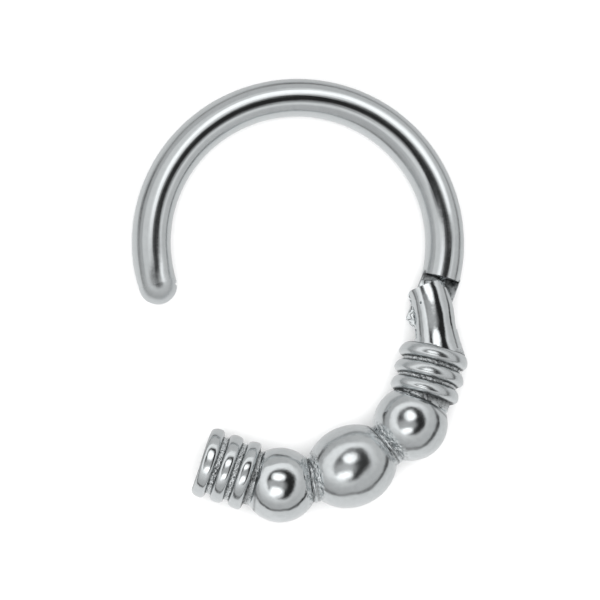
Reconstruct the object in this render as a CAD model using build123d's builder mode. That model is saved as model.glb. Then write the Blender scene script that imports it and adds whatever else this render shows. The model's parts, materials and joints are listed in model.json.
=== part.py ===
from build123d import *
import os
from math import asin, cos, degrees, pi, radians, sin, sqrt

# A hinged segment ring for a piercing, in millimetres and degrees, lying open on a surface at Z = 0.
# A round wire hoop takes up most of the circle. A cast segment of beads and coils closes the rest. It turns on
# a pin through the hoop's tongue, and its far end has a socket for the hoop's tip.

# Hoop wire.
wire_diameter = 1.2
inner_diameter = 8.0

# Hinge. The pin's place is its angle on the closed ring, anticlockwise from +X.
pin_angle = -24.7
open_angle = 37.8
pin_diameter = 0.5
pin_running_gap = 0.03
pin_seat_gap = 0.01
tongue_thickness = 0.42
tongue_reach = 0.925
tongue_lean = 4.0
tongue_end_gap = 0.06
cheek_side_gap = 0.03
cheek_reach = 0.57
cheek_outer_run = 0.75
cheek_outer_rise = 0.34
cheek_inner_round = 0.14
shoulder_reach = 0.855
shoulder_slant = 9.1

# Segment. The coils are straight drums with raised rings, and the beads are solids of revolution.
core_diameter = 1.33
knuckle_length = 1.46
flare_start = 0.7
flare_rise = 0.15
coil_rings = 3
hinge_coil_pitch = 0.55
end_coil_pitch = 0.6
ring_width = 0.44
ring_diameter = 2.2
drum_diameter = 1.84
hinge_coil_drop = 0.06
collar_diameter = 1.72
collar_length = 0.14
small_bead_diameter = 2.33
big_bead_diameter = 2.54
big_bead_length = 2.92
neck_length = 0.11
neck_ridge_height = 0.03
neck_ridge_width = 0.08
end_coil_lean = 6.3
bead_lift = 0.08

# Socket and tip.
tip_entry = 0.63
socket_gap = 0.06
mouth_relief = 0.03
notch_radius = 0.08
notch_width = 0.5

# A cut runs this far past the metal that it goes through, and a joined form reaches this far into its neighbour.
cut_margin = 0.5
overlap = 0.15

# The flare's sections, as shares of its run to the first ring and of its rise.
flare_shares = ((0, 0), (0.22, 0.04), (0.63, 0.44), (1, 1))

wire_radius = wire_diameter / 2
core_radius = core_diameter / 2
pin_radius = pin_diameter / 2
mean_radius = inner_diameter / 2 + wire_radius
slot_thickness = tongue_thickness + 2 * cheek_side_gap
slot_reach = tongue_reach + tongue_end_gap
socket_radius = wire_radius + socket_gap


def flank(half_length, radius, at_radius):
    """How far along its axis an ellipsoid of revolution is cut by a coaxial rod of radius at_radius."""
    return half_length * sqrt(1 - (at_radius / radius) ** 2)


# Places along the segment, as lengths of arc from the pin.
small_bead_radius = small_bead_diameter / 2
big_bead_radius = big_bead_diameter / 2
small_bead_at_collar = flank(small_bead_radius, small_bead_radius, collar_diameter / 2)
small_bead_at_neck = flank(small_bead_radius, small_bead_radius, core_radius)
big_bead_at_neck = flank(big_bead_length / 2, big_bead_radius, core_radius)
hinge_coil_length = (coil_rings - 1) * hinge_coil_pitch + ring_width
end_coil_length = (coil_rings - 1) * end_coil_pitch + ring_width
first_ring = knuckle_length + ring_width / 2
hinge_coil = knuckle_length + hinge_coil_length / 2
hinge_bead = knuckle_length + hinge_coil_length + collar_length + small_bead_at_collar
hinge_neck = hinge_bead + small_bead_at_neck + neck_length / 2
big_bead = hinge_neck + neck_length / 2 + big_bead_at_neck
end_neck = big_bead + big_bead_at_neck + neck_length / 2
end_bead = end_neck + neck_length / 2 + small_bead_at_neck
end_coil = end_bead + small_bead_at_collar + collar_length + end_coil_length / 2
segment_end = end_coil + end_coil_length / 2
tip_start = segment_end + wire_radius - tip_entry


def station(base, length, outward=0.0, lean=0.0):
    """The plane at this length from the pin along the wire: X away from the pin, Y outward, Z as the base's."""
    angle = radians(pin_angle) - length / mean_radius
    heading = angle - pi / 2 + radians(lean)
    reach = mean_radius + outward
    origin = base.from_local_coords(Vector(reach * cos(angle), reach * sin(angle), 0))
    x_dir = base.from_local_coords(Vector(cos(heading), sin(heading), 0)) - base.origin
    return Plane(origin, x_dir=x_dir, z_dir=base.z_dir)


def across(place):
    """The wire's cross-section at a station."""
    return Plane(place.origin, x_dir=place.y_dir, z_dir=place.x_dir)


def swung_open(base):
    """The segment's own plane: the ring's plane turned about the pin by the open angle."""
    closed = radians(pin_angle)
    opened = radians(pin_angle + open_angle)
    shift = Vector(cos(closed) - cos(opened), sin(closed) - sin(opened), 0) * mean_radius
    turned = Vector(cos(radians(open_angle)), sin(radians(open_angle)), 0)
    origin = base.from_local_coords(shift)
    return Plane(origin, x_dir=base.from_local_coords(turned) - base.origin, z_dir=base.z_dir)


# The ring lies on its big bead and on the far side of the hoop, so its plane rises towards the big bead.
flat_segment = swung_open(Plane.XY)
big_bead_centre = station(flat_segment, big_bead, -bead_lift).origin
bead_side = big_bead_centre.normalized()
rest_rise = (big_bead_radius - wire_radius) / (mean_radius + big_bead_centre.length)
rest_tilt = asin(rest_rise)
lowest = station(flat_segment, end_bead, bead_lift).origin.Y - small_bead_radius
highest = mean_radius + wire_radius
rest_normal = Vector(0, 0, cos(rest_tilt)) - bead_side * sin(rest_tilt)
rest_origin = Vector(0, -(highest + lowest) / 2, mean_radius * rest_rise + wire_radius)
ring = Plane(rest_origin, x_dir=(1, 0, 0), z_dir=rest_normal)
segment_ring = swung_open(ring)


def wire_end(base, length, radius):
    """The round section of a rod that follows the circle, at this length from the pin."""
    with BuildSketch(across(station(base, length))) as section:
        Circle(radius)
    return section.sketch


def flare_section(along, risen):
    """A round section of the flare, by its shares of the flare's run and rise. Its inner side follows the core."""
    length = flare_start + along * (first_ring - flare_start)
    rise = risen * flare_rise
    with BuildSketch(across(station(segment_ring, length, rise))) as section:
        Circle(core_radius + rise)
    return section.sketch


def coil_profile(place, pitch, collar_end):
    """Half a coil's outline: its drum, its rings, and the collar towards the bead at collar_end (1 or -1)."""
    length = (coil_rings - 1) * pitch + ring_width
    with BuildSketch(place) as profile:
        Rectangle(length, drum_diameter / 2, align=(Align.CENTER, Align.MIN))
        with GridLocations(pitch, 0, coil_rings, 1):
            with Locations((0, drum_diameter / 2)):
                Ellipse(ring_width / 2, (ring_diameter - drum_diameter) / 2)
        with Locations((collar_end * length / 2, 0)):
            Rectangle(2 * (collar_length + overlap), collar_diameter / 2, align=(Align.CENTER, Align.MIN))
    return profile.sketch


def root_profile(place):
    """The hollow round between the knuckle and the drum of the coil at this place."""
    root_radius = drum_diameter / 2 - core_radius
    with BuildSketch(place) as profile:
        with Locations((-hinge_coil_length / 2, 0)):
            Rectangle(root_radius, drum_diameter / 2, align=(Align.MAX, Align.MIN))
        with Locations((-hinge_coil_length / 2 - root_radius, drum_diameter / 2)):
            Circle(root_radius, mode=Mode.SUBTRACT)
    return profile.sketch


def bead_profile(place, half_length, radius):
    """Half the outline of a bead, round or longer than it is thick."""
    with BuildSketch(place) as profile:
        with BuildLine():
            EllipticalCenterArc((0, 0), half_length, radius, start_angle=0, arc_size=180)
            Line((-half_length, 0), (half_length, 0))
        make_face()
    return profile.sketch


def ridge_profile(place):
    """The thin raised ring at the bottom of a neck."""
    with BuildSketch(place) as profile:
        Rectangle(neck_ridge_width, core_radius + neck_ridge_height, align=(Align.CENTER, Align.MIN))
    return profile.sketch


def long_axis(place):
    return Axis(place.origin, place.x_dir)


def ring_axis(base):
    return Axis(base.origin, base.z_dir)


hinge = station(ring, 0)
tongue_line = station(ring, 0, lean=tongue_lean)
open_hinge = station(segment_ring, 0)
cheek_end = station(segment_ring, -cheek_reach)

# Hoop: round wire with a domed tip at one end and the hinge's tongue at the other.
with BuildPart() as hoop:
    hoop_turn = 360 - degrees(tip_start / mean_radius)
    revolve(wire_end(ring, 0, wire_radius), axis=ring_axis(ring), revolution_arc=hoop_turn)
    with Locations(station(ring, tip_start).location):
        Sphere(wire_radius)
    # The wire stops at a sawn shoulder, slanted to let the segment's cheeks swing past.
    with BuildSketch(hinge):
        with Locations((-shoulder_reach, 0)):
            Rectangle(
                shoulder_reach + cut_margin,
                wire_diameter + 2 * cut_margin,
                rotation=shoulder_slant,
                align=(Align.MIN, Align.CENTER),
            )
    extrude(amount=wire_diameter, both=True, mode=Mode.SUBTRACT)
    # The tongue is the wire's middle, straight from the shoulder, with its end round about the pin.
    with BuildSketch(across(tongue_line).offset(tongue_reach)):
        Circle(wire_radius)
        Rectangle(wire_diameter, tongue_thickness, mode=Mode.INTERSECT)
    extrude(amount=-(tongue_reach + shoulder_reach + overlap))
    with BuildSketch(tongue_line):
        Rectangle(
            tongue_reach + cut_margin,
            wire_diameter + 2 * cut_margin,
            align=(Align.MIN, Align.CENTER),
        )
        Circle(tongue_reach, mode=Mode.SUBTRACT)
    extrude(amount=wire_diameter, both=True, mode=Mode.SUBTRACT)
    with BuildSketch(hinge):
        Circle(pin_radius + pin_running_gap)
    extrude(amount=wire_diameter, both=True, mode=Mode.SUBTRACT)
    # A small notch on the tip's inner side.
    with BuildSketch(station(ring, tip_start - 2 * notch_radius, -wire_radius)):
        Circle(notch_radius)
    extrude(amount=notch_width / 2, both=True, mode=Mode.SUBTRACT)

# Segment: one casting, from the fork at the hinge to the socket at the far end.
with BuildPart() as segment:
    core_turn = -degrees((end_coil + cheek_reach) / mean_radius)
    revolve(
        wire_end(segment_ring, -cheek_reach, core_radius),
        axis=ring_axis(segment_ring),
        revolution_arc=core_turn,
    )
    loft([flare_section(along, risen) for along, risen in flare_shares])
    hinge_coil_place = station(segment_ring, hinge_coil, -hinge_coil_drop)
    end_coil_place = station(segment_ring, end_coil, lean=end_coil_lean)
    coils = (
        (hinge_coil_place, hinge_coil_pitch, 1),
        (end_coil_place, end_coil_pitch, -1),
    )
    for place, pitch, collar_end in coils:
        revolve(coil_profile(place, pitch, collar_end), axis=long_axis(place))
    revolve(root_profile(hinge_coil_place), axis=long_axis(hinge_coil_place))
    beads = (
        (station(segment_ring, hinge_bead, bead_lift), small_bead_radius, small_bead_radius),
        (station(segment_ring, big_bead, -bead_lift), big_bead_length / 2, big_bead_radius),
        (station(segment_ring, end_bead, bead_lift), small_bead_radius, small_bead_radius),
    )
    for place, half_length, radius in beads:
        revolve(bead_profile(place, half_length, radius), axis=long_axis(place))
    for length in (hinge_neck, end_neck):
        place = station(segment_ring, length)
        revolve(ridge_profile(place), axis=long_axis(place))
    # The fork: a slot across the knuckle for the tongue, and cheeks with rounded corners.
    with BuildSketch(open_hinge):
        with Locations((-cheek_reach - cut_margin, 0)):
            Rectangle(
                cheek_reach + cut_margin + slot_reach,
                core_diameter + 2 * cut_margin,
                align=(Align.MIN, Align.CENTER),
            )
    extrude(amount=slot_thickness / 2, both=True, mode=Mode.SUBTRACT)
    with BuildSketch(cheek_end):
        with Locations((cheek_outer_run, core_radius - cheek_outer_rise)):
            Rectangle(
                cheek_outer_run + cut_margin,
                cheek_outer_rise + cut_margin,
                align=(Align.MAX, Align.MIN),
            )
            Ellipse(cheek_outer_run, cheek_outer_rise, mode=Mode.SUBTRACT)
        with Locations((cheek_inner_round, cheek_inner_round - core_radius)):
            Rectangle(
                cheek_inner_round + cut_margin,
                cheek_inner_round + cut_margin,
                align=(Align.MAX, Align.MAX),
            )
            Circle(cheek_inner_round, mode=Mode.SUBTRACT)
    extrude(amount=core_diameter, both=True, mode=Mode.SUBTRACT)
    with BuildSketch(open_hinge):
        Circle(pin_radius + pin_seat_gap)
    extrude(amount=core_diameter, both=True, mode=Mode.SUBTRACT)
    # The socket takes the domed tip when the ring is closed.
    with BuildSketch(across(station(segment_ring, segment_end)).offset(cut_margin)):
        Circle(socket_radius)
    extrude(amount=-(tip_entry + socket_gap + cut_margin), mode=Mode.SUBTRACT)
    # Its mouth is widened along the tip's way out, which swings about the pin.
    tip_centre = station(segment_ring, tip_start).origin
    way_out = (tip_centre - open_hinge.origin).cross(segment_ring.z_dir)
    with BuildSketch(Plane(tip_centre, x_dir=segment_ring.z_dir, z_dir=way_out)):
        Circle(socket_radius + mouth_relief)
    extrude(amount=wire_diameter, mode=Mode.SUBTRACT)

# Hinge pin: held in both cheeks and finished flush with them.
with BuildPart() as hinge_pin:
    with BuildSketch(open_hinge):
        Circle(pin_radius)
    extrude(amount=core_diameter, both=True)
    revolve(
        wire_end(segment_ring, -cheek_reach, core_radius),
        axis=ring_axis(segment_ring),
        revolution_arc=-degrees(2 * cheek_reach / mean_radius),
        mode=Mode.INTERSECT,
    )

os.makedirs("parts", exist_ok=True)
hoop.part.label = "hoop"
segment.part.label = "segment"
hinge_pin.part.label = "hinge_pin"
export_step(hoop.part, "parts/hoop.step")
export_step(segment.part, "parts/segment.step")
export_step(hinge_pin.part, "parts/hinge_pin.step")
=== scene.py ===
import json
import math

import bmesh
import bpy
import numpy as np
from mathutils import Matrix, Vector
from mathutils.bvhtree import BVHTree
from mathutils.interpolate import poly_3d_calc


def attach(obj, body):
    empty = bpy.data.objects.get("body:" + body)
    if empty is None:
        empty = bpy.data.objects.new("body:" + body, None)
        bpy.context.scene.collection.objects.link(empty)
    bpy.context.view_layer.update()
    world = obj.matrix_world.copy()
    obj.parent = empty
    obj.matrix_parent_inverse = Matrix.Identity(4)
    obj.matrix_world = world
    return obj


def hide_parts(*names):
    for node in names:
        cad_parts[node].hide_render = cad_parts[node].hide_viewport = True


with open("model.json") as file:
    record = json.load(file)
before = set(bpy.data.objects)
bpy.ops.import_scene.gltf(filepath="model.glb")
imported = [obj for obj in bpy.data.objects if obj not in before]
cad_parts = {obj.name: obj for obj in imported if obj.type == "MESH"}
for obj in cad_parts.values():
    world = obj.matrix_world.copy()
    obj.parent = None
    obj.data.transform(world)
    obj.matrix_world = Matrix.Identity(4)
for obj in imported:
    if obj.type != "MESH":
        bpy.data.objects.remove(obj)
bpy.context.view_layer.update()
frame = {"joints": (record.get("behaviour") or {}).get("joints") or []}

# Sizes in millimetres and degrees, as in the part's source.
MM = 0.001
wire_radius = 0.6
mean_radius = 4.6
pin_angle = -24.7
open_angle = 37.8
pin_radius = 0.25
pin_running_gap = 0.03
pin_seat_gap = 0.01
tongue_thickness = 0.42
tongue_reach = 0.925
tongue_lean = 4.0
tongue_end_gap = 0.06
cheek_side_gap = 0.03
cheek_reach = 0.57
cheek_outer_run = 0.75
cheek_outer_rise = 0.34
cheek_inner_round = 0.14
shoulder_reach = 0.855
shoulder_slant = 9.1
core_radius = 0.665
knuckle_length = 1.46
flare_start = 0.7
flare_rise = 0.15
coil_rings = 3
hinge_coil_pitch = 0.55
end_coil_pitch = 0.6
ring_width = 0.44
ring_radius = 1.1
drum_radius = 0.92
hinge_coil_drop = 0.06
collar_radius = 0.86
collar_length = 0.14
small_bead_radius = 1.165
big_bead_radius = 1.27
big_bead_half = 1.46
neck_length = 0.11
neck_ridge_height = 0.03
neck_ridge_width = 0.08
end_coil_lean = 6.3
bead_lift = 0.08
tip_entry = 0.63
socket_gap = 0.06
mouth_relief = 0.03
notch_radius = 0.08
notch_width = 0.5
overlap = 0.15
margin = 0.5


def flank(half, radius, at_radius):
    """How far along its axis an ellipsoid of revolution is cut by a coaxial rod."""
    return half * math.sqrt(1 - (at_radius / radius) ** 2)


# Places along the segment, as lengths of arc from the pin.
bead_at_collar = flank(small_bead_radius, small_bead_radius, collar_radius)
bead_at_neck = flank(small_bead_radius, small_bead_radius, core_radius)
big_bead_at_neck = flank(big_bead_half, big_bead_radius, core_radius)
hinge_coil_length = (coil_rings - 1) * hinge_coil_pitch + ring_width
end_coil_length = (coil_rings - 1) * end_coil_pitch + ring_width
hinge_coil = knuckle_length + hinge_coil_length / 2
hinge_bead = knuckle_length + hinge_coil_length + collar_length + bead_at_collar
hinge_neck = hinge_bead + bead_at_neck + neck_length / 2
big_bead = hinge_neck + neck_length / 2 + big_bead_at_neck
end_neck = big_bead + big_bead_at_neck + neck_length / 2
end_bead = end_neck + neck_length / 2 + bead_at_neck
end_coil = end_bead + bead_at_collar + collar_length + end_coil_length / 2
segment_end = end_coil + end_coil_length / 2
tip_start = segment_end + wire_radius - tip_entry

# The casting's own unevenness. A ring's crown is its highest place, in half widths from its middle, away from
# the pin. Its fullness is the exponent of its rounded section, and a seed sets how a coil's rings wander.
hinge_crown = 0.3
end_crown = -0.25
hinge_fullness = 1.8
end_fullness = 2.6
hinge_seed = 0.6
end_seed = 2.1
ring_wander = 0.014
ring_swell = 0.014

# The knuckle's flare, waist, worn lip and casting pit, and the hollow where it meets the first coil. The
# depths of the waist and the lip are shares of the knuckle's radius.
flare_gain = 1.2
flare_power = 1.6
waist_place = 1.05
waist_reach = 0.46
waist_depth = 0.065
lip_place = 0.1
lip_reach = 0.67
lip_depth = 0.075
root_size = 0.1
root_sink = 0.045
pit_length = -0.04
pit_turn = 124
pit_reach = core_radius - 0.03
pit_radius = 0.05

# The saw marks at the root of the tongue.
saw_radius = 0.035
saw_pit_radius = 0.12

# How far the hoop's section is out of round, as the turn of its upper side in radians. It changes around
# the ring: an even part, parts with the cosine, sine and cubed cosine of the angle, and a bulge with its
# turn, and its middle and reach in degrees. It dies out over the last stretch before the tip, in radians.
oval_turn = -0.025, 0.08, -0.05, 0.07
oval_bulge = 0.07, 60.0, 25.0
oval_end = 0.16

# Half the size of a form that cuts right through another, for large and small cuts.
cut_reach = 2.0
bore_reach = 1.0


class Place:
    """A point with three directions, in millimetres."""

    def __init__(self, origin, x, y, z):
        self.origin = np.array(origin, float)
        self.axes = np.array([x, y, z], float)

    def put(self, points):
        return self.origin + np.asarray(points, float) @ self.axes

    def local(self, points):
        return (points - self.origin) @ self.axes.T

    def moved(self, along=0.0, outward=0.0):
        return Place(self.origin + along * self.axes[0] + outward * self.axes[1], *self.axes)


def turned(base, angle):
    """The directions of a base turned about its Z."""
    c, s = math.cos(angle), math.sin(angle)
    x, y, z = base.axes
    return c * x + s * y, c * y - s * x, z


def around_pin(angle_of_x):
    """The centre and directions of a circle through the pin, its X turned by this angle from the ring's."""
    axes = turned(Place((0, 0, 0), ring_x, ring_y, ring_z), angle_of_x)
    a = math.radians(pin_angle)
    origin = pin - mean_radius * (math.cos(a) * axes[0] + math.sin(a) * axes[1])
    return Place(origin, *axes)


hinge_joint = frame["joints"][0]
pin = np.array(hinge_joint["pos_m"]) / MM
ring_z = np.array(hinge_joint["axis"])
ring_z /= np.linalg.norm(ring_z)
ring_x = np.array([1.0, 0, 0]) - ring_z[0] * ring_z
ring_x /= np.linalg.norm(ring_x)
ring_y = np.cross(ring_z, ring_x)
ring = around_pin(0.0)
segment_ring = around_pin(math.radians(open_angle))


def station(base, length, outward=0.0, lean=0.0):
    """The place at this length from the pin along the wire: X away from the pin, Y outward."""
    angle = math.radians(pin_angle) - length / mean_radius
    reach = mean_radius + outward
    origin = base.put([reach * math.cos(angle), reach * math.sin(angle), 0])
    return Place(origin, *turned(base, angle - math.pi / 2 + math.radians(lean)))


# Meshes. Every form is a closed shell in the row frame, and shells are joined and cut with booleans.
def shell(name, points, faces):
    mesh = bpy.data.meshes.new(name)
    mesh.from_pydata((np.asarray(points) * MM).tolist(), [], faces)
    bm = bmesh.new()
    bm.from_mesh(mesh)
    bmesh.ops.recalc_face_normals(bm, faces=bm.faces)
    bm.to_mesh(mesh)
    bm.free()
    mesh.attributes.new("cut", "FLOAT", "FACE")
    obj = bpy.data.objects.new(name, mesh)
    bpy.context.scene.collection.objects.link(obj)
    return obj


def stack(name, rows, around, tip_a=None, tip_b=None):
    """Joins rows of points into a closed shell. Each end closes on a point or across its row's middle."""
    points = [p for row in rows for p in row]
    faces = []
    for i in range(len(rows) - 1):
        for j in range(around):
            k = (j + 1) % around
            faces.append((i * around + j, i * around + k, (i + 1) * around + k, (i + 1) * around + j))
    for row, tip in ((0, tip_a), (len(rows) - 1, tip_b)):
        centre = np.mean(rows[row], axis=0) if tip is None else tip
        points.append(centre)
        for j in range(around):
            faces.append((row * around + j, row * around + (j + 1) % around, len(points) - 1))
    return shell(name, points, faces)


def lathe(name, place, profile, around, shape=None):
    """A surface of revolution about the place's X. The profile's ends lie on the axis."""
    turns = np.linspace(0, 2 * math.pi, around, endpoint=False)
    rows = []
    for a, r in profile[1:-1]:
        along, radius = np.full(around, float(a)), np.full(around, float(r))
        if shape:
            along, radius = shape(along, radius, turns)
        rows.append(place.put(np.stack([along, radius * np.cos(turns), radius * np.sin(turns)], 1)))
    ends = [place.put([profile[i][0], 0, 0]) for i in (0, -1)]
    return stack(name, rows, around, *ends)


def prism(name, place, outline, low, high):
    """An outline in the place's XY, extruded from low to high."""
    flat = np.asarray(outline, float)
    rows = [place.put(np.column_stack([flat, np.full(len(flat), z)])) for z in (low, high)]
    points = np.vstack(rows)
    n = len(flat)
    faces = [(i, (i + 1) % n, n + (i + 1) % n, n + i) for i in range(n)]
    faces += [tuple(range(n)), tuple(range(2 * n - 1, n - 1, -1))]
    obj = shell(name, points, faces)
    bm = bmesh.new()
    bm.from_mesh(obj.data)
    bmesh.ops.triangulate(bm, faces=bm.faces)
    bm.to_mesh(obj.data)
    bm.free()
    return obj


def rod(name, place, radius, low, high, around=64):
    """A round rod along the place's Z."""
    turns = np.linspace(0, 2 * math.pi, around, endpoint=False)
    return prism(name, place, np.stack([radius * np.cos(turns), radius * np.sin(turns)], 1), low, high)


def across(place):
    """The place with its Z along the wire."""
    x, y, z = place.axes
    return Place(place.origin, y, z, x)


def mark_cut(obj, value=1.0):
    """Marks faces that a saw, drill or file leaves."""
    for item in obj.data.attributes["cut"].data:
        item.value = value


def combine(target, others, operation):
    """Joins, cuts or intersects the target with other shells, which are used up."""
    for other in others:
        if operation == "DIFFERENCE":
            mark_cut(other)
        change = target.modifiers.new("combine", "BOOLEAN")
        change.operation = operation
        change.solver = "MANIFOLD"
        change.object = other
        bpy.context.view_layer.update()
        evaluated = target.evaluated_get(bpy.context.evaluated_depsgraph_get())
        result = bpy.data.meshes.new_from_object(evaluated)
        target.modifiers.clear()
        target.data = result
        bpy.data.objects.remove(other)
    return target


def arc_points(centre, radii, start, end, count):
    """Points on an ellipse's arc, in degrees."""
    turns = np.radians(np.linspace(start, end, count))
    return [(centre[0] + radii[0] * math.cos(t), centre[1] + radii[1] * math.sin(t)) for t in turns]


def tube(name, base, start, end, radius, around, step, dome=False):
    """A round rod that follows the circle between two lengths from the pin, with a domed far end if asked."""
    count = max(2, round(abs(end - start) / step) + 1)
    turns = np.linspace(0, 2 * math.pi, around, endpoint=False)
    circle = np.stack([np.zeros(around), np.cos(turns), np.sin(turns)], 1)
    rows = [station(base, s).put(circle * radius(s)) for s in np.linspace(start, end, count)]
    tip = None
    if dome:
        sign = 1 if end > start else -1
        last = station(base, end)
        size = float(np.mean(radius(end)))
        for t in np.radians(np.linspace(0, 90, 22))[1:-1]:
            rows.append(last.moved(sign * size * math.sin(t)).put(circle * size * math.cos(t)))
        tip = last.moved(sign * size).origin
    return stack(name, rows, around, None, tip)


def smooth_surface(obj):
    """Finds the smooth normal of a mesh near any point."""
    mesh = obj.data
    mesh.calc_loop_triangles()
    points = [v.co.copy() for v in mesh.vertices]
    normals = [n.vector.copy() for n in mesh.vertex_normals]
    triangles = [tuple(t.vertices) for t in mesh.loop_triangles]
    tree = BVHTree.FromPolygons(points, triangles)

    def normal_at(point):
        nearest, _, index, _ = tree.find_nearest(point)
        corners = triangles[index]
        weights = poly_3d_calc([points[i] for i in corners], nearest)
        return sum((normals[i] * w for i, w in zip(corners, weights)), Vector()).normalized()
    return normal_at


# Hoop.
hinge = station(ring, 0)
tongue_line = station(ring, 0, lean=tongue_lean)
full_circle = 2 * math.pi * mean_radius
cut_edge = Place(hinge.moved(-shoulder_reach).origin, *turned(hinge, math.radians(shoulder_slant)))
tip_angle = math.radians(pin_angle) - (tip_start - full_circle) / mean_radius
wire_start = -0.3


def oval(angle):
    """How far the hoop's upper side is turned out of round at this angle of the ring."""
    even, across_ring, up_ring, at_sides = oval_turn
    turn = even + across_ring * np.cos(angle) + up_ring * np.sin(angle) + at_sides * np.cos(angle) ** 3
    bulge, middle, reach = oval_bulge
    turn = turn + bulge * np.exp(-(((np.degrees(angle) - middle) / reach) ** 2))
    rest = np.clip((tip_angle - angle) / oval_end, 0, 1)
    return turn * rest * rest * (3 - 2 * rest)


def make_tongue():
    """The wire's middle, straight from the shoulder, with its end round about the pin."""
    end = arc_points((0, 0), (tongue_reach, tongue_reach), -42, 42, 40)
    back = -(shoulder_reach + overlap)
    wide = wire_radius + margin
    outline = [(back, -wide), (end[0][0], -wide), *end, (end[-1][0], wide), (back, wide)]
    tongue = prism("tongue", tongue_line, outline, -tongue_thickness / 2, tongue_thickness / 2)
    mark_cut(tongue)
    bar = rod("bar", across(tongue_line), wire_radius, back - margin, tongue_reach + margin, 160)
    return combine(tongue, [bar], "INTERSECT")


def saw_marks():
    """What the saw leaves along the root of the tongue, on both its faces."""
    marks = []
    x, y, z = cut_edge.axes
    pit_profile = bead_profile(saw_pit_radius, saw_pit_radius, 20)
    for side in (-1, 1):
        corner = cut_edge.origin + side * tongue_thickness / 2 * z
        marks.append(rod("saw", Place(corner, z, x, y), saw_radius, -bore_reach, bore_reach, 24))
        marks.append(lathe("saw_pit", Place(corner, x, y, z), pit_profile, 24))
    return marks


def make_hoop():
    around, step = 112, 0.05
    turns = np.linspace(0, 2 * math.pi, around, endpoint=False)

    def size(length):
        angle = math.radians(pin_angle) - length / mean_radius
        return wire_radius * (1 + oval(angle) / 2 * np.sin(2 * turns))[:, None]
    wire = tube("hoop_wire", ring, wire_start, tip_start - full_circle, size, around, step, dome=True)
    beyond = 2 * (shoulder_reach + margin)
    outline = [(0, -cut_reach), (beyond, -cut_reach), (beyond, cut_reach), (0, cut_reach)]
    combine(wire, [prism("cut", cut_edge, outline, -cut_reach, cut_reach)], "DIFFERENCE")
    combine(wire, [make_tongue()], "UNION")
    bore = rod("bore", hinge, pin_radius + pin_running_gap, -bore_reach, bore_reach)
    notch_at = station(ring, tip_start - 2 * notch_radius, -wire_radius)
    notch = rod("notch", notch_at, notch_radius, -notch_width / 2, notch_width / 2, 32)
    return combine(wire, [bore, *saw_marks(), notch], "DIFFERENCE")


# Segment.
hinge_coil_place = station(segment_ring, hinge_coil, -hinge_coil_drop)
end_coil_place = station(segment_ring, end_coil, lean=end_coil_lean)
open_hinge = station(segment_ring, 0)


def crown_rise(t, peak, fullness):
    """A ring's rise over its drum, as a share, at t half widths from its middle."""
    if abs(t) >= 1:
        return 0.0
    off = (t - peak) / (1 - peak) if t > peak else (peak - t) / (1 + peak)
    return (1 - off ** fullness) ** (1 / fullness)


def coil_profile(pitch, collar_end, peak, fullness):
    """From pole to pole: the drum with its rings, and the collar towards the bead."""
    length = (coil_rings - 1) * pitch + ring_width
    half = length / 2
    count = 150
    outline = []
    for a in np.linspace(-half, half, count):
        rise = 0.0
        for i in range(coil_rings):
            middle = (i - (coil_rings - 1) / 2) * pitch
            share = crown_rise((a - middle) / (ring_width / 2), peak, fullness)
            rise = max(rise, (ring_radius - drum_radius) * share)
        outline.append((a, drum_radius + rise))
    foot = collar_end * (half + collar_length + overlap)
    collar = [(collar_end * half, collar_radius), (foot, collar_radius), (foot, 0)]
    if collar_end > 0:
        return [(-half, 0), *outline, *collar]
    return [*collar[::-1], *outline, (half, 0)]


def sway(along, turns, seed):
    """How far the rings of a coil wander along it, as in a casting from hand-wound wax."""
    slow = np.sin(turns + seed + 2.3 * along)
    fast = np.sin(3 * turns + 2 * seed + 5 * along)
    return ring_wander * (slow + 0.5 * fast)


def hand_wound(seed):
    """Makes the rings of a coil wander along it and swell out."""
    def shape(along, radius, turns):
        rise = np.clip((radius - drum_radius) / (ring_radius - drum_radius), 0, 1)
        swell = np.sin(2 * turns + 3 * seed + 4 * along)
        return along + sway(along, turns, seed), radius + ring_swell * rise * swell
    return shape


def bead_profile(half, radius, count):
    turns = np.linspace(math.pi, 0, count)
    return [(half * math.cos(t), radius * math.sin(t)) for t in turns]


def root_profile():
    """The hollow round where the knuckle meets the end of the coil beside it."""
    buried = 0.05
    start = -hinge_coil_length / 2 - root_size
    foot = core_radius - root_sink
    hollow = arc_points((start, foot + root_size), (root_size, root_size), -90, 0, 14)
    inner = [(start - overlap, 0), (start - overlap, foot - buried)]
    return [*inner, *hollow, (start + root_size, drum_radius), (0, drum_radius), (0, 0)]


def ridge_profile():
    """The thin raised ring at the bottom of a neck."""
    buried = 0.1
    half, foot = neck_ridge_width / 2, core_radius - buried
    top = arc_points((0, core_radius), (half, neck_ridge_height), 180, 0, 12)[1:-1]
    side = (half, core_radius), (half, foot), (half, 0)
    return [*((-x, y) for x, y in reversed(side)), *top, *side]


def make_knuckle(name):
    """The forked end, whose outer side swells towards the first ring of the coil."""
    around, step, run_on = 120, 0.045, 0.3
    turns = np.linspace(0, 2 * math.pi, around, endpoint=False)
    first_ring = knuckle_length + ring_width / 2
    rows = []
    for length in np.arange(-cheek_reach, first_ring + run_on, step):
        share = max(0.0, (length - flare_start) / (first_ring - flare_start))
        rise = flare_rise * min(flare_gain * share ** flare_power, 1.0)
        waist = waist_depth * math.exp(-(((length - waist_place) / waist_reach) ** 2))
        lip = lip_depth * max(0.0, (lip_place - length) / lip_reach) ** 2
        radius, height = core_radius + rise, core_radius * (1 - waist - lip)
        section = np.stack([0 * turns, radius * np.cos(turns), height * np.sin(turns)], 1)
        rows.append(station(segment_ring, length, rise).put(section))
    return stack(name, rows, around)


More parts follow.
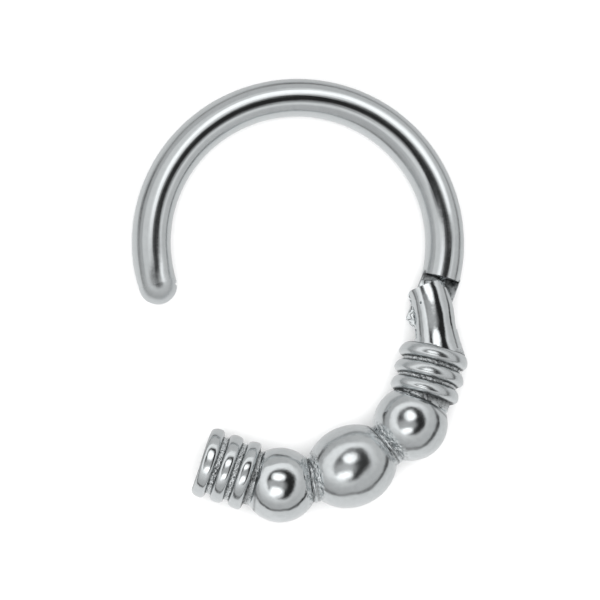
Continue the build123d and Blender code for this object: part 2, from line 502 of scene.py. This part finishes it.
def segment_forms():
    """The core that runs through the segment, and the coils, beads and ridges round it."""
    coil_a = coil_profile(hinge_coil_pitch, 1, hinge_crown, hinge_fullness)
    coil_b = coil_profile(end_coil_pitch, -1, end_crown, end_fullness)
    small_bead = bead_profile(small_bead_radius, small_bead_radius, 90)
    long_bead = bead_profile(big_bead_half, big_bead_radius, 104)
    forms = [
        tube("core", segment_ring, hinge_coil, end_coil, lambda s: core_radius, 112, 0.06),
        lathe("coil_a", hinge_coil_place, coil_a, 160, hand_wound(hinge_seed)),
        lathe("root", hinge_coil_place, root_profile(), 160),
        lathe("coil_b", end_coil_place, coil_b, 160, hand_wound(end_seed)),
        lathe("bead_a", station(segment_ring, hinge_bead, bead_lift), small_bead, 150),
        lathe("bead_b", station(segment_ring, big_bead, -bead_lift), long_bead, 160),
        lathe("bead_c", station(segment_ring, end_bead, bead_lift), small_bead, 150),
    ]
    for length in (hinge_neck, end_neck):
        forms.append(lathe("ridge", station(segment_ring, length), ridge_profile(), 112))
    return forms


def fork_cuts():
    """The slot for the tongue, the round corners of the cheeks and the seat of the pin."""
    slot_reach = tongue_reach + tongue_end_gap
    slot_half = tongue_thickness / 2 + cheek_side_gap
    mouth = -cheek_reach - margin
    slot = [(mouth, -cut_reach), (slot_reach, -cut_reach), (slot_reach, cut_reach), (mouth, cut_reach)]
    top, run, rise = core_radius, cheek_outer_run, cheek_outer_rise
    outer = arc_points((run, top - rise), (run, rise), 90, 180, 24)
    outer += [(-margin, top - rise), (-margin, top + margin), (run, top + margin)]
    size = cheek_inner_round
    inner = arc_points((size, size - top), (size, size), 180, 270, 16)
    inner += [(size, -top - margin), (-margin, -top - margin), (-margin, size - top)]
    cheek_end = station(segment_ring, -cheek_reach)
    return [
        prism("slot", open_hinge, slot, -slot_half, slot_half),
        prism("outer", cheek_end, outer, -cut_reach, cut_reach),
        prism("inner", cheek_end, inner, -cut_reach, cut_reach),
        rod("seat", open_hinge, pin_radius + pin_seat_gap, -cut_reach, cut_reach),
    ]


def socket_cuts():
    """The socket for the tip, and its mouth, which is wider along the tip's way out about the pin."""
    socket_at = across(station(segment_ring, segment_end))
    socket_radius = wire_radius + socket_gap
    tip_centre = station(segment_ring, tip_start).origin
    up = segment_ring.axes[2]
    way_out = np.cross(tip_centre - open_hinge.origin, up)
    way_out /= np.linalg.norm(way_out)
    mouth_at = Place(tip_centre, up, np.cross(way_out, up), way_out)
    return [
        rod("socket", socket_at, socket_radius, -tip_entry - socket_gap, margin, 96),
        rod("mouth", mouth_at, socket_radius + mouth_relief, 0, 2 * wire_radius, 96),
    ]


def make_pit():
    turn = math.radians(pit_turn)
    at = station(segment_ring, pit_length).put([0, pit_reach * math.cos(turn), pit_reach * math.sin(turn)])
    return lathe("pit", Place(at, *open_hinge.axes), bead_profile(pit_radius, pit_radius, 12), 16)


def make_segment():
    """The casting, and a look-up of the normals that its skin has before it is cut."""
    casting = combine(make_knuckle("segment_casting"), segment_forms(), "UNION")
    whole = smooth_surface(casting)
    return combine(casting, [*fork_cuts(), *socket_cuts(), make_pit()], "DIFFERENCE"), whole


def make_pin():
    """The pin, hammered tight in its seat and finished flush with the cheeks."""
    pin_rod = rod("hinge_pin_flush", open_hinge, pin_radius + pin_seat_gap, -cut_reach, cut_reach, 64)
    return combine(pin_rod, [make_knuckle("knuckle")], "INTERSECT")


hoop = make_hoop()
hoop.name = "hoop_wire"
segment, whole_segment = make_segment()
segment.name = "segment_casting"
hinge_pin = make_pin()


# Finish. Each vertex carries how rough the metal is there, how soft its polish is and how much painted shade
# darkens it, in creases and corners where shade falls. On the hoop it also carries its place along and around
# the wire. A pair is where something is full and where it has died out: a height over the drum or core, a
# length, or a share of the wire's radius.
coil_end_length = 0.1, 0.22
coil_depth = 0.12
coil_rough_height = 0.02, 0.07
# Painted shade at the feet of a coil's rings: the heights over the drum where it is full and gone, and its
# width.
coil_shade_height = 0.06, 0.14
coil_shade_width = 0.022
hinge_coil_softness = 0.8
end_coil_softness = 0.15
neck_height = 0.2, 0.4
neck_rough_length = 0.15, 0.3
neck_clean_length = 0.05
# Painted shade lines on both sides of a neck's ridge: the place and width of the stronger one, and the
# strength and width of the fainter one.
neck_shade_place = 0.08
neck_shade_width = 0.025
neck_far_shade = 0.5
neck_far_shade_width = 0.02
bead_reach = 1.2
hinge_bead_softness = 0.35
big_bead_softness = 0.5
end_bead_softness = 0.1
# Painted shade where a bead meets its collar: its strength, and its reach along and out.
collar_shade = 0.6
collar_shade_length = 0.04
collar_shade_height = 0.05
wire_reach = 1.0
tip_reach = 1.5
tip_softness = 1.5
tip_soft_length = -0.25, 0.45
side_softness = 0.7
side_polish_share = 0.45, 0.65
# Painted shadow in the corners of the saw cut: where it is full and where it has died out.
saw_shadow_reach = 0.06, 0.11
sharp_angle = 32
wire_tolerance = 0.004
knuckle_skin_reach = 1.15
same_side = 0.8


def fade(values, full, none):
    """1 up to full, falling to 0 at none."""
    return np.clip((none - values) / (none - full), 0, 1)


def near(values, width):
    """1 at 0, falling away on both sides."""
    return np.exp(-((values / width) ** 2))


def reach_from(points, place):
    """How far the points lie along the place's X and out from it."""
    local = place.local(points)
    return local[:, 0], np.hypot(local[:, 1], local[:, 2])


def coil_finish(points, place, softness, length, pitch, seed):
    """Roughness at the bottom between a coil's rings, painted shade beside them at their feet, and a softer
    polish.
    """
    local = place.local(points)
    out = np.hypot(local[:, 1], local[:, 2])
    height = out - drum_radius
    along = local[:, 0] - sway(local[:, 0], np.arctan2(local[:, 2], local[:, 1]), seed)
    inside = fade(np.abs(along) - length / 2, *coil_end_length) * (height > -coil_depth)
    # Painted shade along the feet of each ring, low down between the rings.
    low = inside * fade(height, *coil_shade_height)
    painted_shade = np.zeros(len(points))
    for i in range(coil_rings):
        middle = (i - (coil_rings - 1) / 2) * pitch
        painted_shade = np.maximum(painted_shade, low * near(np.abs(along - middle) - ring_width / 2, coil_shade_width))
    return inside * fade(height, *coil_rough_height), softness * inside, painted_shade


def neck_finish(points, length):
    """A rough neck, with lines of painted shade on both sides of its ridge."""
    along, out = reach_from(points, station(segment_ring, length))
    slim = fade(out - core_radius, *neck_height)
    rough = slim * fade(np.abs(along), *neck_rough_length) * (np.abs(along) > neck_clean_length)
    # Painted shade in the crevices beside the ridge.
    line = slim * near(along - neck_shade_place, neck_shade_width)
    far_line = neck_far_shade * slim * near(along + neck_shade_place, neck_far_shade_width)
    return rough, 0 * rough, np.maximum(line, far_line)


def bead_finish(points, length, lift, softness, collar):
    """A bead's softer polish, and painted shade where it meets its collar, at its near (-1) or far (1) end or
    nowhere (0).
    """
    along, out = reach_from(points, station(segment_ring, length, lift))
    painted_shade = near(along - collar * bead_at_collar, collar_shade_length)
    painted_shade = collar_shade * abs(collar) * painted_shade * near(out - collar_radius, collar_shade_height)
    return 0 * along, softness * (np.abs(along) < bead_reach), painted_shade


def casting_finish(points):
    hinge_rings = hinge_coil_length, hinge_coil_pitch, hinge_seed
    end_rings = end_coil_length, end_coil_pitch, end_seed
    layers = [
        coil_finish(points, hinge_coil_place, hinge_coil_softness, *hinge_rings),
        coil_finish(points, end_coil_place, end_coil_softness, *end_rings),
        neck_finish(points, hinge_neck),
        neck_finish(points, end_neck),
        bead_finish(points, hinge_bead, bead_lift, hinge_bead_softness, -1),
        bead_finish(points, big_bead, -bead_lift, big_bead_softness, 0),
        bead_finish(points, end_bead, bead_lift, end_bead_softness, 1),
    ]
    rough, soft, painted_shade = np.max(np.array(layers), axis=0)
    return rough, soft, painted_shade, 0 * soft, 0 * soft


def along_hoop(points):
    """For points near the hoop: the ring's angle there, and the way and the reach from the wire's middle."""
    past_pin, past_shoulder = 0.4, 0.3
    local = ring.local(points)
    angle = np.arctan2(local[:, 1], local[:, 0])
    start = math.radians(pin_angle) - past_pin
    angle = (angle - start) % (2 * math.pi) + start
    line = np.clip(angle, math.radians(pin_angle) + (shoulder_reach - past_shoulder) / mean_radius, tip_angle)
    away = local - mean_radius * np.stack([np.cos(line), np.sin(line), 0 * line], 1)
    return line, away, np.linalg.norm(away, axis=1)


def wire_finish(points):
    """A soft polish on the tip and on the wire's sides, painted shadow in the corners of the saw cut, and the
    place on the wire.
    """
    along, out = reach_from(points, station(ring, tip_start))
    at_tip = (np.abs(along) < tip_reach) * (out < wire_reach) * fade(along, *tip_soft_length)
    # Painted shadow in the corners where the saw cut meets the tongue's faces.
    saw = cut_edge.local(points)
    corner = np.hypot(saw[:, 0], np.abs(saw[:, 2]) - tongue_thickness / 2)
    close = (np.abs(saw[:, 1]) < wire_reach) * (np.abs(saw[:, 0]) < wire_reach)
    line, away, _ = along_hoop(points)
    side = (away[:, 0] * np.cos(line) + away[:, 1] * np.sin(line)) / wire_radius
    at_side = 1 - fade(np.abs(side), *side_polish_share)
    turn = np.arctan2(side * wire_radius, away[:, 2])
    soft = np.maximum(tip_softness * at_tip, side_softness * at_side)
    return 0 * along, soft, close * fade(corner, *saw_shadow_reach), line * mean_radius, turn * wire_radius


def mesh_points(mesh):
    points = np.empty(len(mesh.vertices) * 3)
    mesh.vertices.foreach_get("co", points)
    return points.reshape(-1, 3) / MM


def store_finish(obj, finish):
    mesh = obj.data
    names = "rough", "soft", "painted_shade", "along", "around"
    for name, values in zip(names, finish(mesh_points(mesh))):
        mesh.attributes.new(name, "FLOAT", "POINT").data.foreach_set("value", values.astype(np.float32))
    mesh.shade_smooth()
    mesh.set_sharp_from_angle(angle=math.radians(sharp_angle))


def round_normals(obj):
    """Gives the uncut wire of the hoop the normals of its smooth section."""
    mesh = obj.data
    line, away, size = along_hoop(mesh_points(mesh))
    out = away[:, 0] * np.cos(line) + away[:, 1] * np.sin(line)
    turn = np.arctan2(away[:, 2], out)
    bend = oval(line)
    on_wire = np.abs(size - wire_radius * (1 + bend / 2 * np.sin(2 * turn))) < wire_tolerance
    turned_by = -bend * np.cos(2 * turn)
    c, s = np.cos(turned_by), np.sin(turned_by)
    in_plane = np.stack([-np.sin(line), np.cos(line)], 1)
    forward = (away[:, :2] * in_plane).sum(1)
    turned_out, up = c * out - s * away[:, 2], s * out + c * away[:, 2]
    local = np.stack([
        turned_out * np.cos(line) + forward * in_plane[:, 0],
        turned_out * np.sin(line) + forward * in_plane[:, 1],
        up,
    ], 1)
    away = (local / np.linalg.norm(local, axis=1)[:, None]) @ ring.axes
    normals = np.empty(len(mesh.loops) * 3)
    mesh.corner_normals.foreach_get("vector", normals)
    normals = normals.reshape(-1, 3)
    for face in mesh.polygons:
        if mesh.attributes["cut"].data[face.index].value > 0.5:
            continue
        for i in face.loop_indices:
            vertex = mesh.loops[i].vertex_index
            if on_wire[vertex]:
                normals[i] = away[vertex]
    mesh.normals_split_custom_set(normals.tolist())


def whole_normals(obj, normal_at):
    """Gives the uncut skin of the knuckle the normals that it had before it was cut."""
    mesh = obj.data
    centre = Vector(pin * MM)
    normals = [corner.vector.copy() for corner in mesh.corner_normals]
    cut = [item.value > 0.5 for item in mesh.attributes["cut"].data]
    found = {}
    for face in mesh.polygons:
        if cut[face.index]:
            continue
        for i in face.loop_indices:
            vertex = mesh.loops[i].vertex_index
            point = mesh.vertices[vertex].co
            if (point - centre).length > knuckle_skin_reach * MM:
                continue
            if vertex not in found:
                found[vertex] = normal_at(point)
            if face.normal.dot(found[vertex]) > same_side:
                normals[i] = found[vertex]
    mesh.normals_split_custom_set(normals)


store_finish(hoop, wire_finish)
store_finish(segment, casting_finish)
store_finish(hinge_pin, wire_finish)
round_normals(hoop)
whole_normals(segment, whole_segment)
whole_normals(hinge_pin, whole_segment)


# Shading. Numbers in a node tree that can be added, multiplied and compared like numbers in Python.
class Num:
    def __init__(self, tree, socket):
        self.tree = tree
        self.socket = socket

    def math(self, operation, *others):
        made = self.tree.nodes.new("ShaderNodeMath")
        made.operation = operation
        for slot, value in zip(made.inputs, (self, *others)):
            if isinstance(value, Num):
                self.tree.links.new(value.socket, slot)
            else:
                slot.default_value = value
        return Num(self.tree, made.outputs[0])

    def __add__(self, other):
        return self.math("ADD", other)

    def __sub__(self, other):
        return self.math("SUBTRACT", other)

    def __mul__(self, other):
        return self.math("MULTIPLY", other)

    def __truediv__(self, other):
        return self.math("DIVIDE", other)

    __radd__ = __add__
    __rmul__ = __mul__

    def rest(self):
        """1 minus the number."""
        return self * -1 + 1

    def step(self, low, high, start=0.0, end=1.0):
        """Goes smoothly from start to end between low and high."""
        made = self.tree.nodes.new("ShaderNodeMapRange")
        made.interpolation_type = "SMOOTHSTEP"
        for name, value in (("From Min", low), ("From Max", high), ("To Min", start), ("To Max", end)):
            made.inputs[name].default_value = value
        self.tree.links.new(self.socket, made.inputs["Value"])
        return Num(self.tree, made.outputs["Result"])


def length_of(a, b):
    return (a * a + b * b).math("SQRT")


def linked(tree, kind, output, **inputs):
    """A node with these inputs set or linked, and its output socket."""
    made = tree.nodes.new(kind)
    for name, value in inputs.items():
        slot = made.inputs[name.replace("_", " ")]
        if isinstance(value, Num):
            tree.links.new(value.socket, slot)
        elif isinstance(value, bpy.types.NodeSocket):
            tree.links.new(value, slot)
        else:
            slot.default_value = value
    return made.outputs[output]


def vector_math(tree, operation, a, b, output="Vector"):
    made = tree.nodes.new("ShaderNodeVectorMath")
    made.operation = operation
    for slot, value in zip(made.inputs, (a, b)):
        if isinstance(value, bpy.types.NodeSocket):
            tree.links.new(value, slot)
        else:
            slot.default_value = [float(v) for v in value]
    return made.outputs[output]


def noise(tree, place, scale, detail=2.0, roughness=0.5):
    """Cloudy noise about 0, with this many clouds to the millimetre."""
    settings = {"Scale": scale, "Detail": detail, "Roughness": roughness}
    return Num(tree, linked(tree, "ShaderNodeTexNoise", "Fac", Vector=place, **settings)) + -0.5


# Camera. The lean is the way from the ring to the camera. The pixels are the photograph's, and the ring's
# pixel is where the middle of the hoop's circle lies.
view_lean = np.array([-0.048, -0.092, 1.0])
view_distance = 160.0
pixels_per_mm = 31.9
frame_pixels = 600
ring_pixel = (298.1, 242.5)
sensor = 36.0
to_camera = view_lean / np.linalg.norm(view_lean)
camera_right = np.cross([0.0, 1.0, 0.0], to_camera)
camera_right /= np.linalg.norm(camera_right)
camera_up = np.cross(to_camera, camera_right)


def turn_to(place, target):
    """A matrix that stands at the place and looks at the target, with the photograph's top up."""
    back = (place - target) / np.linalg.norm(place - target)
    right = np.cross(camera_up, back)
    right /= np.linalg.norm(right)
    turn = Matrix([right, np.cross(back, right), back]).transposed().to_4x4()
    return Matrix.Translation(Vector(place * MM)) @ turn


def make_camera():
    data = bpy.data.cameras.new("camera")
    camera = bpy.data.objects.new("camera", data)
    bpy.context.scene.collection.objects.link(camera)
    aim = (
        ring.origin
        + camera_right * (frame_pixels / 2 - ring_pixel[0]) / pixels_per_mm
        + camera_up * (ring_pixel[1] - frame_pixels / 2) / pixels_per_mm
    )
    camera.matrix_world = turn_to(ring.origin + view_distance * to_camera, aim)
    data.sensor_width = sensor
    data.lens = pixels_per_mm * sensor / frame_pixels * view_distance
    data.clip_start, data.clip_end = 0.01, 10.0
    bpy.context.scene.camera = camera


# Light. A white tent stands over the ring, with the dark opening above it that the picture is taken through.
# All of it is placed by where a polished ball shows it: u to the right and v up, in radii of the ball. A
# panel has its middle, its radii, its turn in degrees and the softness of its edge. A level is a brightness.
opening = (0.03, 0.065), (0.375, 0.37), 0, 0.12
halo = (-0.10, 0.16), (0.52, 0.50), 0, 0.35
main_lamp = (-0.03, 0.22), (0.15, 0.115), 0, 0.4
low_lamp = (-0.10, -0.175), (0.15, 0.095), 0, 0.45
bridge = (-0.11, -0.02), (0.24, 0.15), 0, 0.5
wire_opening = (0.05, 0.052), (0.215, 0.205), 0, 0.6
wire_slit = (-0.002, 0.093), (0.324, 0.058), 10.5, 0.37
wire_lamp = (0.067, 0.282), (0.337, 0.195), 8, 0.244
wire_glow = (-0.149, 0.437), (0.583, 0.83), 27, 0.205
opening_level = 0.025
halo_level = 0.5
main_lamp_level = 1.5
low_lamp_level = 1.4
bridge_level = 0.46
wire_lamp_level = 0.56
wire_glow_level = 0.29
wire_opening_depth = 0.98

# Brightness in the ball's middle, and what it gains to the right and upwards. The table also gains outwards.
wall_light = 0.67, 0.12, 0.04
table_light = 0.74, -0.06, -0.12
table_outwards = 0.2
wire_light = 0.56, 0.026, 0.043

# The dark line where the walls meet the table, by its distance from the walls' middle. It wanders, and noise
# makes it lighter and darker in places.
walls_middle = 0.07
line_wander = 0.08
line_wander_scale = 3.0
line_inside = 0.672, 0.702
line_outside = 0.772, 0.738
table_edge = 0.715, 0.75
line_patch_scale = 2.2
line_patch_edge = 0.15
line_lightest = 0.55
line_darkest = 0.97

# The panel lights stand above the ring. The two for its pieces reach about 70 degrees to each side of it. The
# sizes and distances are in millimetres.
ring_light_size = 1600
ring_light_distance = 300
floor_light_size = 300
floor_light_distance = 280
floor_light_level = 4.9


def ball_place(tree, direction):
    """Where a polished ball shows this direction of the tent."""
    between = vector_math(tree, "ADD", direction, to_camera)
    between = vector_math(tree, "NORMALIZE", between, (0, 0, 0))
    return [
        Num(tree, vector_math(tree, "DOT_PRODUCT", between, side, "Value"))
        for side in (camera_right, camera_up)
    ]


def panel(place, form):
    """1 inside an ellipse and 0 outside it, with a soft edge."""
    (centre_u, centre_v), (radius_u, radius_v), turn, soft = form
    u, v = place[0] - centre_u, place[1] - centre_v
    c, s = math.cos(math.radians(turn)), math.sin(math.radians(turn))
    along, beside = (u * c + v * s) / radius_u, (v * c - u * s) / radius_v
    return length_of(along, beside).step(1 + soft, 1 - soft)


def even_light(place, level, to_right, to_top):
    """A brightness that changes evenly over the ball."""
    u, v = place
    return u * to_right + v * to_top + level


def walls(place):
    """The tent's walls, the dark line where they meet the table, and the table."""
    u, v = place
    tree = u.tree
    at = linked(tree, "ShaderNodeCombineXYZ", "Vector", X=u, Y=v)
    out = length_of(u, v + -walls_middle) + noise(tree, at, line_wander_scale, 1.0) * line_wander
    line = out.step(*line_inside) * out.step(*line_outside)
    patches = noise(tree, at, line_patch_scale, 1.0)
    depth = patches.step(-line_patch_edge, line_patch_edge, line_lightest, line_darkest)
    on_table = out.step(*table_edge)
    table = out * table_outwards + even_light(place, *table_light)
    lit = even_light(place, *wall_light) * on_table.rest() + table * on_table
    return lit * (line * depth).rest()


def tent(place):
    inside = panel(place, opening)
    return walls(place) * inside.rest() + inside * opening_level


def segment_lamps(place):
    """The lamps and the bridge in the opening, and a halo around it."""
    light = panel(place, main_lamp) * main_lamp_level + panel(place, low_lamp) * low_lamp_level
    light = light + panel(place, bridge) * bridge_level
    return light + panel(place, halo) * panel(place, opening).rest() * halo_level


def wire_lamps(place):
    """Fills the tent's opening for the wire, down to a smaller opening, and adds a broad lamp and a glow."""
    light = even_light(place, *wire_light) + panel(place, wire_lamp) * wire_lamp_level
    light = light + panel(place, wire_glow) * wire_glow_level
    dark = panel(place, wire_opening).math("MAXIMUM", panel(place, wire_slit)) * wire_opening_depth
    return (light * dark.rest() - tent(place)).math("MAXIMUM", 0.0)


def make_tent():
    world = bpy.data.worlds.new("tent")
    bpy.context.scene.world = world
    world.use_nodes = True
    tree = world.node_tree
    tree.nodes.clear()
    direction = tree.nodes.new("ShaderNodeTexCoord").outputs["Generated"]
    background = tree.nodes.new("ShaderNodeBackground")
    tree.links.new(tent(ball_place(tree, direction)).socket, background.inputs["Strength"])
    output = tree.nodes.new("ShaderNodeOutputWorld")
    tree.links.new(background.outputs[0], output.inputs["Surface"])
    world.cycles.sampling_method = "MANUAL"
    world.cycles.sample_map_resolution = 1024


def make_panel_light(name, size, distance, receivers, glow):
    """A square light above the ring that lights only these pieces, as bright as glow says or paints."""
    data = bpy.data.lights.new(name, "AREA")
    data.shape = "SQUARE"
    data.size = size * MM
    light = bpy.data.objects.new(name, data)
    bpy.context.scene.collection.objects.link(light)
    light.matrix_world = turn_to(ring.origin + distance * to_camera, ring.origin)
    light.visible_camera = False
    lit = bpy.data.collections.new(name + "_lit")
    for piece in receivers:
        lit.objects.link(piece)
    light.light_linking.receiver_collection = lit
    data.energy = math.pi * data.size ** 2
    data.use_nodes = True
    tree = data.node_tree
    strength = tree.nodes["Emission"].inputs["Strength"]
    if callable(glow):
        position = tree.nodes.new("ShaderNodeNewGeometry").outputs["Position"]
        direction = vector_math(tree, "SUBTRACT", position, ring.origin * MM)
        direction = vector_math(tree, "NORMALIZE", direction, (0, 0, 0))
        tree.links.new(glow(ball_place(tree, direction)).socket, strength)
    else:
        strength.default_value = glow


# Floor.
floor_half = 0.6
floor_white = 0.92
floor_roughness = 0.9


def make_floor():
    mesh = bpy.data.meshes.new("floor")
    corners = [(x * floor_half, y * floor_half, 0) for x, y in ((-1, -1), (1, -1), (1, 1), (-1, 1))]
    mesh.from_pydata(corners, [], [(0, 1, 2, 3)])
    made = bpy.data.objects.new("floor", mesh)
    bpy.context.scene.collection.objects.link(made)
    white = bpy.data.materials.new("floor_white")
    white.use_nodes = True
    surface = white.node_tree.nodes["Principled BSDF"]
    surface.inputs["Base Color"].default_value = (floor_white, floor_white, floor_white, 1)
    surface.inputs["Roughness"].default_value = floor_roughness
    mesh.materials.append(white)
    made.visible_glossy = False
    return made


# Steel. Its shade is a share of white, with a tint for red, green and blue. A noise has its clouds to the
# millimetre, its detail and its roughness, and each height is a bump's size in millimetres. The cut faces
# also fall away towards the picture's top, by a slope.
steel_shade = 0.75
steel_tint = 0.945, 0.985, 1.0
stain_noise = 1.6, 4.0, 0.6
peel_noise = 6.0, 3.0
grain_noise = 7.0, 2.0
facet_noise = 4.0, 1.0
wave_noise = 0.9, 1.0
drawn_noise = 1.0, 3.0, 0.6
drawn_lengthwise = 0.12
drawn_crosswise = 5
# Painted shade in creases and corners: its even part, its share of grain and how much it darkens the colour.
# It also adds roughness.
crease_shade_even = 0.9
crease_shade_grain = 1.2
crease_shade_darkness = 0.85
peel_share = 0.8
rough_light = 0.12
# Cut faces are painted lighter: painted light standing in for the light that the walls around them keep off.
cut_painted_light = 0.32
# Painted shade along the edges of the filed facets on cut faces: the widths where it is full and gone, and
# its depth.
facet_edge = 0.008, 0.03
facet_edge_shade_depth = 0.75
soft_roughness = 0.16
rough_roughness = 0.05
cut_roughness = 0.2
crease_roughness = 0.2
stain_roughness = 0.05
peel_roughness = 0.03
rough_height = 0.15
facet_height = 0.13
grain_height = 0.03
cut_slope = 0.35


def mark(tree, name):
    """A number that the mesh carries."""
    made = tree.nodes.new("ShaderNodeAttribute")
    made.attribute_name = name
    return Num(tree, made.outputs["Fac"])


def drawn_lines(tree):
    """Fine lines along the wire, which was drawn through a hole."""
    at = linked(tree, "ShaderNodeCombineXYZ", "Vector", X=mark(tree, "along") * drawn_lengthwise,
                Y=mark(tree, "around") * drawn_crosswise)
    return noise(tree, at, *drawn_noise)


def tinted(tree, tone):
    """The colour of steel of this tone."""
    red, green, blue = (tone * (steel_shade * tint) for tint in steel_tint)
    return linked(tree, "ShaderNodeCombineColor", "Color", Red=red, Green=green, Blue=blue)


def steel(name, polish, cloud, wave, skin, streak):
    """Polished steel that turns rough and duller where the casting or a cut is marked, with painted shade in
    its creases and along filed facet edges, and cut faces painted lighter.
    """
    made = bpy.data.materials.new(name)
    made.use_nodes = True
    tree = made.node_tree
    surface = tree.nodes["Principled BSDF"]
    surface.inputs["Metallic"].default_value = 1.0
    at = tree.nodes.new("ShaderNodeTexCoord").outputs["Object"]
    place = vector_math(tree, "MULTIPLY", at, (1 / MM, 1 / MM, 1 / MM))
    cut, rough, soft, painted_shade = (mark(tree, key) for key in ("cut", "rough", "soft", "painted_shade"))
    settings = stain_noise, peel_noise, grain_noise, facet_noise, wave_noise
    stain, peel, grain, facets, waves = (noise(tree, place, *values) for values in settings)

    # Painted shade: the marked creases and corners are darkened in the colour, and made rougher.
    crease_shade = (painted_shade * (grain * crease_shade_grain + crease_shade_even)).math("MINIMUM", 1.0)
    # Painted shade along the facet edges of cut faces.
    facet_edge_shade = facets.math("ABSOLUTE").step(*facet_edge, facet_edge_shade_depth, 0.0) * cut
    # Cut faces are painted lighter here, as painted light.
    tone = (stain + peel * peel_share) * cloud + rough * rough_light + cut * cut_painted_light + 1
    tone = tone * (crease_shade * crease_shade_darkness).rest() * facet_edge_shade.rest()

    roughness = soft * soft_roughness + rough * rough_roughness + cut * cut_roughness + crease_shade * crease_roughness
    roughness = roughness + stain * stain_roughness + peel * peel_roughness + polish

    height = waves * (wave * MM) + peel * (skin * MM) + grain * rough * (rough_height * MM)
    filed = Num(tree, vector_math(tree, "DOT_PRODUCT", place, camera_up, "Value")) * (cut_slope * MM)
    height = height + (facets * (facet_height * MM) + grain * (grain_height * MM) - filed) * cut
    if streak:
        height = height + drawn_lines(tree) * (streak * MM)
    bump = linked(tree, "ShaderNodeBump", "Normal", Height=height, Distance=1.0, Strength=1.0)
    tree.links.new(tinted(tree, tone), surface.inputs["Base Color"])
    tree.links.new(roughness.socket, surface.inputs["Roughness"])
    tree.links.new(bump, surface.inputs["Normal"])
    return made


wire_steel = steel("wire_steel", polish=0.12, cloud=0.12, wave=0.008, skin=0.0012, streak=0.006)
cast_steel = steel("cast_steel", polish=0.11, cloud=0.2, wave=0.075, skin=0.003, streak=0)
for obj, material, body, node, slot in (
    (hoop, wire_steel, "hoop", "hoop", "wire_steel"),
    (segment, cast_steel, "segment", "segment", "cast_steel"),
    (hinge_pin, cast_steel, "segment", "hinge_pin", "pin_steel"),
):
    obj.data.materials.clear()
    obj.data.materials.append(material)
    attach(obj, body)
    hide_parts(node)

floor = make_floor()
make_camera()
make_tent()
make_panel_light("wire_light", ring_light_size, ring_light_distance, [hoop], wire_lamps)
make_panel_light("segment_light", ring_light_size, ring_light_distance, [segment, hinge_pin], segment_lamps)
make_panel_light("floor_light", floor_light_size, floor_light_distance, [floor], floor_light_level)
scene = bpy.context.scene
scene.view_settings.view_transform = "Standard"
scene.view_settings.look = "None"
